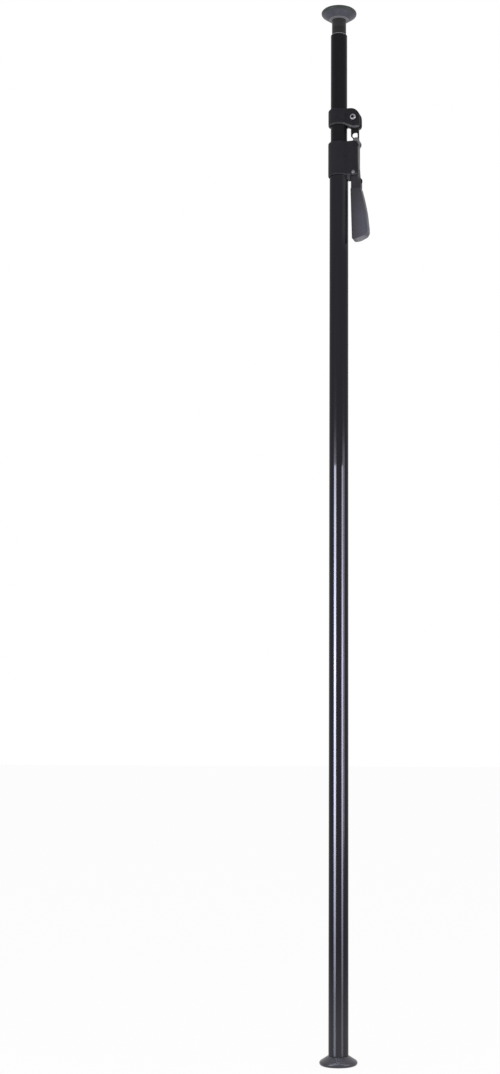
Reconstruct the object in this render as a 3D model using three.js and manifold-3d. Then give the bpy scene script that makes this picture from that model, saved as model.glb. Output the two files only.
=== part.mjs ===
import * as THREE from 'three';
import { mergeVertices } from 'three/addons/utils/BufferGeometryUtils.js';
import Module from 'manifold-3d';

const wasm = await Module();
wasm.setup();

// A floor to ceiling tension pole, drawn with its lever shut.
// Millimetres. Z runs up the pole, the lever is on the +X side, the origin is the middle of the floor face.

// Gaps between pieces that touch, turn and slide
const seatGap = 0.3;
const pinGap = 0.2;
const slideGap = 0.3;
const overrun = 5;

// Tubes
const lowerTubeLength = 1874.6;
const lowerTubeRadius = 20;
const lowerTubeWall = 1.8;
const upperTubeLength = 1900;
const upperTubeRadius = 17.75;
const upperTubeWall = 1.8;
const tubeReach = 251.2;

// Rubber cups, their stems and the screws that hold them
const cupRadius = 38;
const cupHeight = 18.5;
const cupRimRound = 4.6;
const cupSlope = THREE.MathUtils.degToRad(33);
const cupHubRadius = 20.8;
const cupHubBevel = 0.8;
const cupGrooveRadius = 25;
const cupGrooveWidth = 2.4;
const cupGrooveDepth = 1.2;
const stemRadius = 15.25;
const floorStemLength = 8;
const ceilingStemLength = 20.4;
const plugNeck = 16.2;
const plugInsert = 30;
const plugFloor = 6;
const plugWall = 3.2;
const cupScrewRadius = 3;
const cupScrewBite = 14;
const cupScrewHeadRadius = 5.5;
const cupScrewHead = 4;

// Bushes between the tubes
const guideBushHeight = 6;
const slideBushHeight = 14;
const slideBushInsert = 25;
const slideBushWall = 3.5;

// Collar on the lower tube, with the two cheeks that hold the lever
const collarHeight = 75.6;
const collarRadius = 23;
const collarLip = 2;
const collarLipGap = 0.7;
const collarEdge = 3;
const cheekReach = 43.8;
const collarThickness = 24;
const cheekTopRound = 9;
const cheekFootRound = 3.5;
const castingBevel = 1.2;
const rivetRadius = 2.4;
const rivetHeadRadius = 4;
const rivetHead = 1.2;
const rivetInset = 14;
const rivetSpread = 36;

// Lever: pivot, crank, arm and grip
const pivotReach = 38.5;
const pivotDrop = 8.4;
const pivotPinRadius = 3.2;
const crankLength = 11.2;
const crankLead = 0.3;
const linkPinRadius = 2.5;
const leverThickness = 14;
const leverPocketGap = 0.3;
const lobeRadius = 9.9;
const lobeRise = 3.2;
const earRadius = 6;
const pivotBossRadius = 4.7;
const leverInner = 27.9;
const armTopOuter = 44.2;
const armWaistOuter = 46.4;
const armWaistDrop = 71;
const armStep = 3;
const armFootOuter = 49.6;
const gripTopDrop = 96.6;
const gripLength = 114.5;
const gripThickness = 22;
const gripBevel = 4;
const gripLeanInner = 3.2;
const gripShoulder = 5.6;
const gripShoulderDrop = 22;
const gripSwell = 11.9;
const gripSwellDrop = 54;
const gripHeel = 15.6;
const gripHeelRise = 24;
const gripHeelLift = 9;
const gripToeWidth = 14;
const gripToeRound = 6;
const gripHeelRound = 10;
const tangInner = 36;
const tangWidth = 10;
const tangThickness = 8;
const tangLength = 84;
const gripScrewRadius = 2;
const gripScrewHeadRadius = 3.5;
const gripScrewHead = 2.4;
const gripScrewRecess = 3;
const gripScrewDrop = 26;
const gripScrewSpacing = 36;
const gripScrewBite = 7;

// Safety catch in the lever and the pin that it hooks
const strikeReach = 34.4;
const strikeDrop = 61.4;
const strikePinRadius = 2.5;
const strikeHeadRadius = 4;
const strikeHead = 1.2;
const strikeNotchGap = 1.1;
const catchThickness = 4;
const catchSideGap = 0.3;
const catchPivotReach = 42;
const catchPivotDrop = 72.6;
const catchPinRadius = 1.5;
const catchBoss = 4;
const catchNoseInner = 29.2;
const catchNoseWidth = 2.3;
const catchNoseOverlap = 2;
const catchTabReach = 51.4;
const catchTabHeight = 8;
const catchTabDrop = 11;
const catchSlotRise = 19;
const catchSlotDrop = 12.5;
const catchRelief = 2.6;
const catchSpringRadius = 1.7;
const catchSpringLength = 7.6;
const catchSpringReach = 35;

// Thrust link from the lever's crank to the tube clamp
const linkThickness = 6;
const linkSlotGap = 0.4;
const linkEyeRadius = 5.2;
const linkInner = 7.4;
const linkShoulderInner = 11.7;
const linkShoulderRise = 10;
const linkOuter = 5.4;
const linkBoreGap = 3.6;
const linkTopWall = 2.4;
const linkWall = 2;
const windowFoot = 6.4;
const windowHeight = 12;
const windowRound = 6;

// Clamp on the upper tube
const boltReach = 34;
const boltRise = 59.9;
const clampRadius = 22.7;
const clampBelowBolt = 14.5;
const clampHeight = 36;
const clampDrop = 7;
const clampReach = 48.3;
const clampTopRound = 25;
const clampFootRound = 9;
const clampThickness = 24;
const boltRadius = 4;
const boltHeadRadius = 6.9;
const boltHead = 4.4;
const boltHeadRound = 1.6;
const boltSocketWidth = 5;
const boltSocketDepth = 2.8;
const boltTail = 1.2;
const washerRadius = 8;
const washerThickness = 1.6;
const nutWidth = 13;
const nutHeight = 6.5;

// Smoothness of the round shapes
const tubeSides = 40;
const pinSides = 20;
const curveSteps = 6;
const rimSteps = 6;
const bevelSteps = 2;

// Levels up the pole
const lowerTubeFoot = cupHeight + seatGap;
const lowerTubeTop = lowerTubeFoot + lowerTubeLength;
const guideBushFoot = lowerTubeTop + seatGap;
const guideBushTop = guideBushFoot + guideBushHeight;
const collarTop = guideBushTop + seatGap + collarLip;
const collarFoot = collarTop - collarHeight;

// The upper tube is drawn out by its reach, or further where its foot would otherwise meet the bottom plug
const bottomPlugTop = lowerTubeFoot + floorStemLength + plugFloor + plugInsert;
const upperTubeStop = bottomPlugTop + slideGap + slideBushHeight + seatGap;
const upperTubeTop = Math.max(lowerTubeTop + tubeReach, upperTubeStop + upperTubeLength);
const upperTubeFoot = upperTubeTop - upperTubeLength;
const ceiling = upperTubeTop + plugNeck + seatGap + ceilingStemLength + cupHeight;

// Places of the pins, as [x, z]
const leverPivot = [pivotReach, collarTop - pivotDrop];
const crankPin = [pivotReach + crankLead, leverPivot[1] + crankLength];
const clampPin = [boltReach, leverPivot[1] + boltRise];
const strikePin = [strikeReach, leverPivot[1] - strikeDrop];
const catchPivot = [catchPivotReach, leverPivot[1] - catchPivotDrop];
const gripTop = leverPivot[1] - gripTopDrop;

// Sizes that several pieces share
const lowerTubeBore = lowerTubeRadius - lowerTubeWall;
const upperTubeBore = upperTubeRadius - upperTubeWall;
const collarBore = lowerTubeRadius + seatGap;
const leverPocket = leverThickness + 2 * leverPocketGap;
const linkSlot = linkThickness + 2 * linkSlotGap;
const catchSlot = catchThickness + 2 * catchSideGap;
const cheekFace = collarThickness / 2;
const clampFace = clampThickness / 2;

const finish = (color, roughness, metalness) => ({ color, roughness, metalness });
const finishes = {
  rubber: finish(0x2c313c, 0.45, 0),
  blackPlastic: finish(0x1d1e22, 0.5, 0),
  tube: finish(0x232427, 0.35, 0.6),
  blackCasting: finish(0x1c1d20, 0.6, 0.2),
  greyCasting: finish(0x5e6168, 0.45, 0.7),
  grip: finish(0x2a3040, 0.5, 0),
  steel: finish(0xb4b6ba, 0.3, 1),
};

// Welds a closed geometry, drops its flat triangles, faces it outward and makes it ready to cut and join.
function solid(geometry) {
  geometry.deleteAttribute('normal');
  geometry.deleteAttribute('uv');
  const welded = mergeVertices(geometry);
  const places = welded.getAttribute('position');
  const index = welded.getIndex();
  const corners = [new THREE.Vector3(), new THREE.Vector3(), new THREE.Vector3()];
  const faces = [];
  let volume = 0;
  for (let i = 0; i < index.count; i += 3) {
    const face = [index.getX(i), index.getX(i + 1), index.getX(i + 2)];
    if (new Set(face).size < face.length) continue;
    face.forEach((vertex, k) => corners[k].fromBufferAttribute(places, vertex));
    volume += corners[0].dot(corners[1].clone().cross(corners[2]));
    faces.push(face);
  }
  const triangles = volume < 0 ? faces.map(([a, b, c]) => [a, c, b]) : faces;
  return new wasm.Manifold(new wasm.Mesh({
    numProp: 3,
    vertProperties: new Float32Array(places.array),
    triVerts: new Uint32Array(triangles.flat()),
  }));
}

function cut(body, ...tools) {
  return tools.reduce((rest, tool) => rest.subtract(tool), body);
}

function join(body, ...others) {
  return others.reduce((whole, other) => whole.add(other), body);
}

// A body turned about the pole's axis from an outline of [radius, height] points.
function turned(outline, sides = tubeSides) {
  const points = outline.map(([radius, height]) => new THREE.Vector2(radius, height));
  return solid(new THREE.LatheGeometry(points, sides).rotateX(Math.PI / 2));
}

function ring(inner, outer, foot, top) {
  return turned([[inner, foot], [outer, foot], [outer, top], [inner, top], [inner, foot]]);
}

function block(low, high) {
  const size = high.map((value, axis) => value - low[axis]);
  const middle = high.map((value, axis) => (value + low[axis]) / 2);
  return solid(new THREE.BoxGeometry(...size).translate(...middle));
}

// A round rod between two points.
function rod(radius, from, to, sides = pinSides) {
  const start = new THREE.Vector3(...from);
  const along = new THREE.Vector3(...to).sub(start);
  const middle = start.addScaledVector(along, 1 / 2);
  const shape = new THREE.CylinderGeometry(radius, radius, along.length(), sides);
  const turn = new THREE.Quaternion().setFromUnitVectors(new THREE.Vector3(0, 1, 0), along.normalize());
  return solid(shape.applyQuaternion(turn).translate(middle.x, middle.y, middle.z));
}

// A rod across the pole, through the point [x, z].
function crossRod(radius, [x, z], front, back, sides = pinSides) {
  return rod(radius, [x, front, z], [x, back, z], sides);
}

// A flat plate across the pole from corners [x, z, rounding]; the rounding starts that far from its corner.
function plate(corners, thickness, bevel = 0, holes = []) {
  const shape = new THREE.Shape();
  trace(shape, corners);
  holes.forEach((hole) => shape.holes.push(trace(new THREE.Path(), hole)));
  const geometry = new THREE.ExtrudeGeometry(shape, {
    depth: thickness - 2 * bevel,
    bevelEnabled: bevel > 0,
    bevelThickness: bevel,
    bevelSize: bevel,
    bevelOffset: -bevel,
    bevelSegments: bevelSteps,
    curveSegments: curveSteps,
  });
  return solid(geometry.translate(0, 0, bevel - thickness / 2).rotateX(Math.PI / 2));
}

function trace(path, corners) {
  corners.forEach(([x, z, rounding = 0], i) => {
    const corner = new THREE.Vector2(x, z);
    const [before, after] = [corners.at(i - 1), corners[(i + 1) % corners.length]].map(([px, pz]) => (
      new THREE.Vector2(px, pz).sub(corner).setLength(rounding).add(corner)));
    if (i === 0) path.moveTo(before.x, before.y);
    else path.lineTo(before.x, before.y);
    if (rounding > 0) path.quadraticCurveTo(corner.x, corner.y, after.x, after.y);
  });
  path.closePath();
  return path;
}

const pole = new THREE.Group();

function piece(name, body, look) {
  const { vertProperties, triVerts } = body.getMesh();
  const geometry = new THREE.BufferGeometry();
  geometry.setAttribute('position', new THREE.BufferAttribute(vertProperties, 3));
  geometry.setIndex(new THREE.BufferAttribute(triVerts, 1));
  geometry.computeVertexNormals();
  const mesh = new THREE.Mesh(geometry, new THREE.MeshStandardMaterial(look));
  mesh.name = name;
  pole.add(mesh);
}

// A cup lies face down at height 0 here; at() sets it on the floor or turns it over against the ceiling.
const onFloor = (height) => height;
const onCeiling = (height) => ceiling - height;

// Rubber cup: flat face with a ring groove, round rim, cone, hub, and a stem with the screw's blind hole.
function cup(stemLength, at) {
  const rimMiddle = cupRadius - cupRimRound;
  const rimTurn = Math.PI - cupSlope;
  const rim = Array.from({ length: rimSteps + 1 }, (_, i) => {
    const angle = rimTurn * i / rimSteps - Math.PI / 2;
    return [rimMiddle + cupRimRound * Math.cos(angle), cupRimRound * (1 + Math.sin(angle))];
  });
  const [coneRadius, coneFoot] = rim.at(-1);
  const coneTop = coneFoot + (coneRadius - cupHubRadius) * Math.tan(cupSlope);
  const stemTop = cupHeight + stemLength;
  const bore = cupScrewRadius + pinGap;
  const outline = [
    [0, 0],
    [cupGrooveRadius, 0],
    [cupGrooveRadius, cupGrooveDepth],
    [cupGrooveRadius + cupGrooveWidth, cupGrooveDepth],
    [cupGrooveRadius + cupGrooveWidth, 0],
    ...rim,
    [cupHubRadius, coneTop],
    [cupHubRadius - cupHubBevel, cupHeight],
    [stemRadius, cupHeight],
    [stemRadius, stemTop],
    [bore, stemTop],
    [bore, stemTop - cupScrewBite],
    [0, stemTop - cupScrewBite],
  ];
  return turned(outline.map(([radius, height]) => [radius, at(height)]));
}

// Plug that fills a tube's end behind the stem: a hollow pot whose floor takes the cup's screw.
function endPlug(stemLength, neckLength, tubeBore, at) {
  const foot = cupHeight + stemLength + seatGap;
  const shoulder = foot + neckLength;
  const top = shoulder + plugInsert;
  const outer = tubeBore - seatGap;
  const hollow = stemRadius - plugWall;
  const bore = cupScrewRadius + pinGap;
  const outline = [
    [bore, foot],
    [stemRadius, foot],
    [stemRadius, shoulder],
    [outer, shoulder],
    [outer, top],
    [hollow, top],
    [hollow, foot + plugFloor],
    [bore, foot + plugFloor],
    [bore, foot],
  ];
  return turned(outline.map(([radius, height]) => [radius, at(height)]));
}

function cupScrew(stemLength, at) {
  const stemTop = cupHeight + stemLength;
  const tip = stemTop - cupScrewBite + seatGap;
  const seat = stemTop + seatGap + plugFloor + seatGap;
  const outline = [
    [0, tip],
    [cupScrewRadius, tip],
    [cupScrewRadius, seat],
    [cupScrewHeadRadius, seat],
    [cupScrewHeadRadius, seat + cupScrewHead],
    [0, seat + cupScrewHead],
  ];
  return turned(outline.map(([radius, height]) => [radius, at(height)]), pinSides);
}

piece('bottom_cup', cup(floorStemLength, onFloor), finishes.rubber);
piece('bottom_plug', endPlug(floorStemLength, plugFloor, lowerTubeBore, onFloor), finishes.blackPlastic);
piece('bottom_cup_screw', cupScrew(floorStemLength, onFloor), finishes.steel);
piece('top_cup', cup(ceilingStemLength, onCeiling), finishes.rubber);
piece(
  'top_plug',
  endPlug(ceilingStemLength, plugNeck + seatGap, upperTubeBore, onCeiling),
  finishes.blackPlastic,
);
piece('top_cup_screw', cupScrew(ceilingStemLength, onCeiling), finishes.steel);

// Rivets at the back hold the collar on the lower tube.
const rivetHeights = [collarFoot + rivetInset, collarFoot + rivetInset + rivetSpread];

function rivetHole(height) {
  return rod(rivetRadius + pinGap, [0, 0, height], [0, collarRadius + overrun, height]);
}

function rivet(height) {
  const shank = rod(rivetRadius, [0, lowerTubeBore, height], [0, collarRadius + seatGap, height]);
  const headFoot = collarRadius + seatGap;
  const head = rod(rivetHeadRadius, [0, headFoot, height], [0, headFoot + rivetHead, height]);
  return join(shank, head);
}

function lowerTube() {
  const tube = ring(lowerTubeBore, lowerTubeRadius, lowerTubeFoot, lowerTubeTop);
  return cut(tube, ...rivetHeights.map(rivetHole));
}

// Collar: a sleeve with a lip over the guide bush, and a block that the lever's pocket splits into two cheeks.
function collar() {
  const sleeve = turned([
    [0, collarFoot],
    [collarRadius - collarEdge, collarFoot],
    [collarRadius, collarFoot + collarEdge],
    [collarRadius, collarTop - collarEdge],
    [collarRadius - collarEdge, collarTop],
    [0, collarTop],
  ]);
  const cheeks = plate([
    [0, collarFoot],
    [cheekReach, collarFoot, cheekFootRound],
    [cheekReach, collarTop, cheekTopRound],
    [0, collarTop],
  ], collarThickness, castingBevel);
  const lip = upperTubeRadius + collarLipGap;
  const bore = turned([
    [0, collarFoot - overrun],
    [collarBore, collarFoot - overrun],
    [collarBore, collarTop - collarLip],
    [lip, collarTop - collarLip],
    [lip, collarTop + overrun],
    [0, collarTop + overrun],
  ]);
  const half = leverPocket / 2;
  const pocketFloor = leverInner - seatGap;
  const beyond = cheekReach + overrun;
  const pocket = block([pocketFloor, -half, collarFoot - overrun], [beyond, half, collarTop + overrun]);
  const swing = crossRod(crankLength + earRadius + slideGap, leverPivot, -half, half, tubeSides);
  const linkWay = block(
    [lowerTubeRadius - seatGap, -linkSlot / 2, leverPivot[1] - linkInner],
    [pocketFloor + overrun, linkSlot / 2, collarTop + overrun],
  );
  const catchWay = block(
    [pocketFloor - catchRelief, -catchSlot / 2, collarFoot - overrun],
    [pocketFloor + overrun, catchSlot / 2, strikePin[1] + strikeHeadRadius],
  );
  const face = cheekFace + overrun;
  const pinHoles = [
    crossRod(pivotPinRadius + pinGap, leverPivot, -face, face),
    crossRod(strikePinRadius + pinGap, strikePin, -face, face),
  ];
  const solidCollar = join(sleeve, cheeks);
  return cut(solidCollar, bore, pocket, swing, linkWay, catchWay, ...pinHoles, ...rivetHeights.map(rivetHole));
}

function guideBush() {
  return ring(upperTubeRadius + slideGap, collarBore - seatGap, guideBushFoot, guideBushTop);
}

// Pin through both cheeks with a head on each side; the catch hooks its middle.
function strikePinBody() {
  const seat = cheekFace + seatGap;
  const shank = crossRod(strikePinRadius, strikePin, -seat, seat);
  const heads = [-1, 1].map((side) => (
    crossRod(strikeHeadRadius, strikePin, side * seat, side * (seat + strikeHead))));
  return join(shank, ...heads);
}

piece('lower_tube', lowerTube(), finishes.tube);
piece('collar', collar(), finishes.blackCasting);
piece('guide_bush', guideBush(), finishes.blackPlastic);
rivetHeights.forEach((height, i) => piece(`collar_rivet_${i + 1}`, rivet(height), finishes.steel));
piece('pivot_pin', crossRod(pivotPinRadius, leverPivot, -cheekFace, cheekFace), finishes.steel);
piece('strike_pin', strikePinBody(), finishes.steel);

// Way of the link through the lever's crank: it leaves only the boss round the pivot pin.
function crankSlot() {
  const [x, z] = leverPivot;
  const boss = pivotBossRadius;
  const reach = lobeRadius + overrun;
  const roof = z + crankLength + earRadius + overrun;
  return plate([
    [x - reach, z + boss],
    [x, z + boss],
    [x + boss, z + boss / 2],
    [x + boss, z],
    [x + reach, z - overrun],
    [x + reach, roof],
    [x - reach, roof],
  ], linkSlot);
}

// Lever casting: lobe round the pivot, two ears for the link pin, arm between the cheeks, tang in the grip.
function leverArm() {
  const [x, z] = leverPivot;
  const half = leverThickness / 2;
  const armFoot = gripTop + seatGap;
  const lobe = crossRod(lobeRadius, [x, z + lobeRise], -half, half, tubeSides);
  const ears = crossRod(earRadius, crankPin, -half, half, tubeSides);
  const neck = block([crankPin[0] - earRadius, -half, z], [crankPin[0] + earRadius, half, crankPin[1]]);
  const arm = plate([
    [leverInner, z],
    [leverInner, armFoot],
    [armFootOuter, armFoot],
    [armFootOuter, z - armWaistDrop - armStep],
    [armWaistOuter, z - armWaistDrop],
    [armTopOuter, z - armWaistDrop / 2],
    [armTopOuter, z],
  ], leverThickness);
  const tang = block(
    [tangInner, -tangThickness / 2, gripTop - tangLength],
    [tangInner + tangWidth, tangThickness / 2, armFoot + overrun],
  );
  const notchRadius = strikePinRadius + strikeNotchGap;
  const notchEnd = crossRod(notchRadius, strikePin, -half - overrun, half + overrun);
  const notch = block(
    [leverInner - overrun, -half - overrun, strikePin[1] - notchRadius],
    [strikePin[0], half + overrun, strikePin[1] + notchRadius],
  );
  const catchWay = block(
    [leverInner - overrun, -catchSlot / 2, catchPivot[1] - catchSlotDrop],
    [armFootOuter + overrun, catchSlot / 2, catchPivot[1] + catchSlotRise],
  );
  const deep = half + overrun;
  const pinHoles = [
    crossRod(pivotPinRadius + pinGap, leverPivot, -deep, deep),
    crossRod(linkPinRadius + pinGap, crankPin, -deep, deep),
    crossRod(catchPinRadius + pinGap, catchPivot, -deep, deep),
  ];
  const screwHoles = gripScrewHeights.map((height) => rod(
    gripScrewRadius + pinGap,
    [tangInner - overrun, 0, height],
    [tangInner + gripScrewBite + seatGap, 0, height],
  ));
  const casting = join(lobe, ears, neck, arm, tang);
  return cut(casting, crankSlot(), notch, notchEnd, catchWay, ...pinHoles, ...screwHoles);
}

// The grip's inner face leans out a little from top to toe.
const gripScrewHeights = [0, 1].map((i) => gripTop - gripScrewDrop - i * gripScrewSpacing);

function gripInnerAt(height) {
  return leverInner + gripLeanInner * (gripTop - height) / gripLength;
}

// Moulded grip: straight towards the tube, swelling outward to its heel, with a socket for the tang.
function leverGrip() {
  const toe = gripTop - gripLength;
  const grip = plate([
    [leverInner, gripTop],
    [gripInnerAt(toe), toe, gripToeRound],
    [gripInnerAt(toe) + gripToeWidth, toe, gripToeRound],
    [armFootOuter + gripHeel, toe + gripHeelLift, gripHeelRound],
    [armFootOuter + gripHeel, toe + gripHeelRise, gripHeelRound / 3],
    [armFootOuter + gripSwell, gripTop - gripSwellDrop, gripHeelRound],
    [armFootOuter + gripShoulder, gripTop - gripShoulderDrop, gripHeelRound],
    [armFootOuter, gripTop],
  ], gripThickness, gripBevel);
  const side = tangThickness / 2 + seatGap;
  const socket = block(
    [tangInner - seatGap, -side, gripTop - tangLength - seatGap],
    [tangInner + tangWidth + seatGap, side, gripTop + overrun],
  );
  const ways = gripScrewHeights.flatMap((height) => {
    const seat = gripInnerAt(height) + gripScrewRecess;
    return [
      rod(gripScrewHeadRadius + seatGap, [seat - gripScrewRecess - overrun, 0, height], [seat, 0, height]),
      rod(gripScrewRadius + pinGap, [seat - gripScrewRecess, 0, height], [tangInner, 0, height]),
    ];
  });
  return cut(grip, socket, ...ways);
}

function gripScrew(height) {
  const seat = gripInnerAt(height) + gripScrewRecess - seatGap;
  const head = rod(gripScrewHeadRadius, [seat - gripScrewHead, 0, height], [seat, 0, height]);
  const shank = rod(gripScrewRadius, [seat - gripScrewHead, 0, height], [tangInner + gripScrewBite, 0, height]);
  return join(head, shank);
}

piece('lever_arm', leverArm(), finishes.greyCasting);
piece('lever_grip', leverGrip(), finishes.grip);
gripScrewHeights.forEach((height, i) => piece(`grip_screw_${i + 1}`, gripScrew(height), finishes.steel));
const leverFace = leverThickness / 2;
piece('link_pin', crossRod(linkPinRadius, crankPin, -leverFace, leverFace), finishes.steel);
piece('catch_pin', crossRod(catchPinRadius, catchPivot, -leverFace, leverFace), finishes.steel);

// Safety catch: nose under and behind the strike pin, thumb tab outside the lever, spring under the arm.
const catchNoseTop = strikePin[1] - strikePinRadius + catchNoseOverlap;
const catchArmTop = strikePin[1] - strikePinRadius - catchNoseOverlap;
const catchArmFoot = catchPivot[1] - catchBoss / 2;

function safetyCatch() {
  const [x, z] = catchPivot;
  const noseOuter = catchNoseInner + catchNoseWidth;
  const outline = [
    [catchNoseInner, catchArmFoot, catchBoss / 2],
    [catchNoseInner, catchNoseTop],
    [noseOuter, catchNoseTop],
    [noseOuter, catchArmTop, catchNoseWidth / 2],
    [x, z + catchBoss, catchBoss],
    [catchTabReach, z - catchTabDrop + catchTabHeight, catchNoseWidth],
    [catchTabReach, z - catchTabDrop, catchNoseWidth],
    [x + catchBoss, z - catchTabDrop + catchNoseWidth, catchNoseWidth],
    [x - catchBoss, catchArmFoot, catchBoss / 2],
  ];
  const hole = crossRod(catchPinRadius + pinGap, catchPivot, -catchThickness, catchThickness);
  return cut(plate(outline, catchThickness), hole);
}

function catchSpring() {
  const top = catchArmFoot - seatGap;
  return rod(catchSpringRadius, [catchSpringReach, 0, top - catchSpringLength], [catchSpringReach, 0, top]);
}

piece('safety_catch', safetyCatch(), finishes.steel);
piece('catch_spring', catchSpring(), finishes.steel);

// Thrust link: small eye on the crank, a window above it, and a wide top eye on the clamp's bolt.
function thrustLink() {
  const [x, z] = crankPin;
  const topEye = boltRadius + linkBoreGap + linkTopWall;
  const shoulder = z + linkShoulderRise;
  const shoulderWidth = linkShoulderInner - linkInner;
  const waist = clampPin[1] - topEye;
  const strap = plate([
    [x - linkEyeRadius, z],
    [x + linkOuter, z],
    [x + linkOuter, waist],
    [clampPin[0] + topEye, clampPin[1]],
    [clampPin[0] - topEye, clampPin[1]],
    [x - linkShoulderInner, waist],
    [x - linkShoulderInner, shoulder],
    [x - linkInner, shoulder - shoulderWidth],
    [x - linkInner, z + linkInner / 2],
  ], linkThickness, 0, [[
    [x - linkInner + linkWall, z + windowFoot],
    [x + linkOuter - linkWall, z + windowFoot],
    [x + linkOuter - linkWall, z + windowFoot + windowHeight, windowRound],
    [x - linkShoulderInner + linkWall, z + windowFoot + windowHeight, windowRound],
    [x - linkShoulderInner + linkWall, z + windowFoot + shoulderWidth],
  ]]);
  const half = linkThickness / 2;
  const eyes = [
    crossRod(linkEyeRadius, crankPin, -half, half, tubeSides),
    crossRod(topEye, clampPin, -half, half, tubeSides),
  ];
  const holes = [
    crossRod(linkPinRadius + pinGap, crankPin, -linkThickness, linkThickness),
    crossRod(boltRadius + linkBoreGap, clampPin, -linkThickness, linkThickness, tubeSides),
  ];
  return cut(join(strap, ...eyes), ...holes);
}

piece('thrust_link', thrustLink(), finishes.blackCasting);

// Clamp: a split ring round the upper tube, with a deeper knuckle for the bolt, which also carries the link.
function tubeClamp() {
  const foot = clampPin[1] - clampBelowBolt;
  const top = foot + clampHeight;
  const band = turned([
    [0, foot],
    [clampRadius - collarEdge, foot],
    [clampRadius, foot + collarEdge],
    [clampRadius, top - collarEdge],
    [clampRadius - collarEdge, top],
    [0, top],
  ]);
  const knuckle = plate([
    [0, foot],
    [upperTubeRadius, foot],
    [boltReach, foot - clampDrop],
    [clampReach, foot - clampDrop, clampFootRound],
    [clampReach, top, clampTopRound],
    [0, top],
  ], clampThickness, castingBevel);
  const bore = turned([
    [0, foot - overrun],
    [upperTubeRadius + seatGap, foot - overrun],
    [upperTubeRadius + seatGap, top + overrun],
    [0, top + overrun],
  ]);
  const splitFoot = foot - clampDrop - overrun;
  const split = block([0, -linkSlot / 2, splitFoot], [clampReach + overrun, linkSlot / 2, top + overrun]);
  const face = clampFace + overrun;
  const hole = crossRod(boltRadius + pinGap, clampPin, -face, face);
  return cut(join(band, knuckle), bore, split, hole);
}

const washerFoot = clampFace + seatGap;
const nutFoot = washerFoot + washerThickness + seatGap;
const nutTop = nutFoot + nutHeight;

// A six sided bar across the pole, named by its width over the flats.
function hexBar(width, front, back) {
  return crossRod(width / Math.sqrt(3), clampPin, front, back, 6);
}

function clampBolt() {
  const seat = -clampFace - seatGap;
  const crown = seat - boltHead;
  const rim = crown + boltHeadRound;
  const shank = crossRod(boltRadius, clampPin, seat, nutTop + boltTail);
  const head = crossRod(boltHeadRadius, clampPin, rim, seat, tubeSides);
  const dome = solid(new THREE.CylinderGeometry(
    boltHeadRadius, boltHeadRadius - boltHeadRound, boltHeadRound, tubeSides,
  ).translate(clampPin[0], (crown + rim) / 2, clampPin[1]));
  return cut(join(shank, head, dome), hexBar(boltSocketWidth, crown - overrun, crown + boltSocketDepth));
}

piece('tube_clamp', tubeClamp(), finishes.blackCasting);
piece('clamp_bolt', clampBolt(), finishes.steel);
piece('clamp_washer', cut(
  crossRod(washerRadius, clampPin, washerFoot, washerFoot + washerThickness),
  crossRod(boltRadius + pinGap, clampPin, clampFace, nutFoot),
), finishes.steel);
piece('clamp_nut', cut(
  hexBar(nutWidth, nutFoot, nutTop),
  crossRod(boltRadius + pinGap, clampPin, nutFoot - overrun, nutTop + overrun),
), finishes.steel);

// Bush on the upper tube's foot, which runs in the lower tube.
function slideBush() {
  const seat = upperTubeFoot - seatGap;
  const outer = lowerTubeBore - slideGap;
  const spigot = upperTubeBore - seatGap;
  const hollow = spigot - slideBushWall;
  return turned([
    [hollow, seat - slideBushHeight],
    [outer, seat - slideBushHeight],
    [outer, seat],
    [spigot, seat],
    [spigot, seat + slideBushInsert],
    [hollow, seat + slideBushInsert],
    [hollow, seat - slideBushHeight],
  ]);
}

piece('upper_tube', ring(upperTubeBore, upperTubeRadius, upperTubeFoot, upperTubeTop), finishes.tube);
piece('slide_bush', slideBush(), finishes.blackPlastic);

export default pole;
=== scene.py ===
import math

import bmesh
import bpy
from mathutils import Matrix


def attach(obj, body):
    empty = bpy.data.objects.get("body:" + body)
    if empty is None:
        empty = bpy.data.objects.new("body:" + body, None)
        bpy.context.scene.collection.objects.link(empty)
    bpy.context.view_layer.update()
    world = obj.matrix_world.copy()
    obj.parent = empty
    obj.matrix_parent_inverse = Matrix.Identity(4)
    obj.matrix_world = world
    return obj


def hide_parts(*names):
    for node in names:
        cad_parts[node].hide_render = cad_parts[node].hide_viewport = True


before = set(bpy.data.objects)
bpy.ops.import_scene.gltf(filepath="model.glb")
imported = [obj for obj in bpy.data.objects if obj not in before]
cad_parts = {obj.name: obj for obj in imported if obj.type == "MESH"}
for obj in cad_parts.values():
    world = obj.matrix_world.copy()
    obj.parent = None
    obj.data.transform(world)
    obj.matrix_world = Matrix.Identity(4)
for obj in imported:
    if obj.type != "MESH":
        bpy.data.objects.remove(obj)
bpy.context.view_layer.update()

# Camera and studio. The camera stands low in front of the pole, a little to its lever side, and looks up.
# The pole stands right of the middle of the picture, which the shift gives. Floor and surroundings are white.
CAMERA_AWAY = 3.25
CAMERA_HEIGHT = 0.63
CAMERA_SIDE = 15
CAMERA_TURN = math.radians(CAMERA_SIDE)
CAMERA_TILT = math.radians(7.8)
CAMERA_ROLL = math.radians(-0.035)

lens = bpy.data.cameras.new("studio_camera")
lens.sensor_fit = "VERTICAL"
lens.sensor_height = 36
lens.lens = 53.12
lens.shift_x = -0.0825
lens.shift_y = -0.0098
camera = bpy.data.objects.new("studio_camera", lens)
camera.location = (CAMERA_AWAY * math.sin(CAMERA_TURN), -CAMERA_AWAY * math.cos(CAMERA_TURN), CAMERA_HEIGHT)
camera.rotation_euler = (math.pi / 2 + CAMERA_TILT, CAMERA_ROLL, CAMERA_TURN)
bpy.context.scene.collection.objects.link(camera)
bpy.context.scene.camera = camera
bpy.context.scene.view_settings.view_transform = "Standard"


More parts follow.
